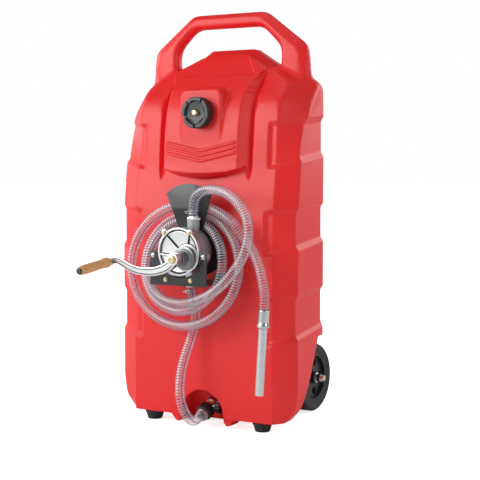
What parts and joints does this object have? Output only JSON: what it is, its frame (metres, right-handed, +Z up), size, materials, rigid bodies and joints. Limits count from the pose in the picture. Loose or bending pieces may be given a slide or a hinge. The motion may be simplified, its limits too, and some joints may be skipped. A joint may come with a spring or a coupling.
{
  "type": "fuel caddy",
  "caption": "Upright plastic fuel tank on two wheels, with a carrying handle, a hand-cranked rotary pump, a coiled clear hose with a spout, and a bottom valve.",
  "frame": {"origin": "on the floor, under the middle of the box of the caddy with its crank grip and wheels", "axes": "+Z up, +X to the right as the pump is looked at, -Y out of the pump side"},
  "size_m": [0.46, 0.635, 0.93],
  "materials": {
    "red_plastic": "moulded polyethylene with a fine grain",
    "black_plastic": "satin moulded plastic",
    "black_sheet": "dark grey powder coat",
    "black_rubber": "matte",
    "tyre_rubber": "matte",
    "cast_silver": "fine cast surface",
    "bright_steel": "zinc-bright",
    "yellow_brass": "satin",
    "pale_wood": "clear-lacquered beech",
    "clear_hose": "clear soft PVC with an embedded wire helix"
  },
  "bodies": {
    "caddy": {"tank": "red_plastic", "valve_coupler": "black_plastic", "hanger_drum": "black_sheet", "hanger_plate": "black_sheet", "pump_bracket": "black_sheet", "foot_left": "black_rubber", "foot_right": "black_rubber", "cover_gasket": "black_rubber", "port_seal": "black_rubber", "pump_housing": "cast_silver", "pump_cover": "cast_silver", "outlet_fitting": "cast_silver", "inlet_fitting": "cast_silver", "axle": "bright_steel", "axle_nut_left": "bright_steel", "axle_nut_right": "bright_steel", "washer_left": "bright_steel", "washer_right": "bright_steel", "side_screw_left": "bright_steel", "side_screw_right": "bright_steel", "outlet_clamp": "bright_steel", "inlet_clamp": "bright_steel", "valve_clamp": "bright_steel", "hose_ferrule": "bright_steel", "spout": "bright_steel", "cover_screw_left": "yellow_brass", "cover_screw_right": "yellow_brass", "lower_screw_left": "yellow_brass", "lower_screw_right": "yellow_brass", "shaft_bush": "yellow_brass", "valve_nut": "yellow_brass", "valve_body": "yellow_brass", "delivery_lead": "clear_hose", "delivery_coil": "clear_hose", "delivery_tail": "clear_hose", "suction_hose": "clear_hose"},
    "wheel_left": {"tyre_left": "tyre_rubber", "rim_left": "black_plastic"},
    "wheel_right": {"tyre_right": "tyre_rubber", "rim_right": "black_plastic"},
    "cap_ring": {"cap_seal": "black_rubber"},
    "cap": {"filler_cap": "black_plastic"},
    "vent": {"vent_screw": "yellow_brass"},
    "crank": {"pump_shaft": "bright_steel", "rotor": "bright_steel", "vane_1": "black_plastic", "vane_2": "black_plastic", "vane_3": "black_plastic", "vane_4": "black_plastic", "crank_arm": "cast_silver", "crank_screw": "yellow_brass", "grip_pin": "bright_steel"},
    "grip": {"grip": "pale_wood"},
    "knob": {"valve_knob": "black_plastic", "valve_stem": "bright_steel", "valve_ball": "bright_steel"}
  },
  "joints": [
    {"name": "wheel_left_spin", "type": "hinge", "parent": "caddy", "child": "wheel_left", "pos_m": [-0.123, 0.23754, 0.08], "axis": [1, 0, 0], "continuous": true},
    {"name": "wheel_right_spin", "type": "hinge", "parent": "caddy", "child": "wheel_right", "pos_m": [0.123, 0.23754, 0.08], "axis": [1, 0, 0], "continuous": true},
    {"name": "cap_lift", "type": "slide", "parent": "caddy", "child": "cap_ring", "axis": [0, -1, 0], "range_m": [0, 0.12]},
    {"name": "cap_turn", "type": "hinge", "parent": "cap_ring", "child": "cap", "pos_m": [0, -0.05346, 0.7], "axis": [0, -1, 0], "range_deg": [0, 540]},
    {"name": "vent_turn", "type": "hinge", "parent": "cap", "child": "vent", "pos_m": [0, -0.05346, 0.7], "axis": [0, -1, 0], "range_deg": [0, 360]},
    {"name": "crank_turn", "type": "hinge", "parent": "caddy", "child": "crank", "pos_m": [0.026, -0.13716, 0.3865], "axis": [0, -1, 0], "continuous": true},
    {"name": "grip_spin", "type": "hinge", "parent": "crank", "child": "grip", "pos_m": [-0.137, -0.20946, 0.37559], "axis": [0, -0.9925, -0.1219], "continuous": true},
    {"name": "valve_turn", "type": "hinge", "parent": "caddy", "child": "knob", "pos_m": [0, -0.01669, 0.04035], "axis": [1, 0, 0], "range_deg": [0, 90]}
  ]
}
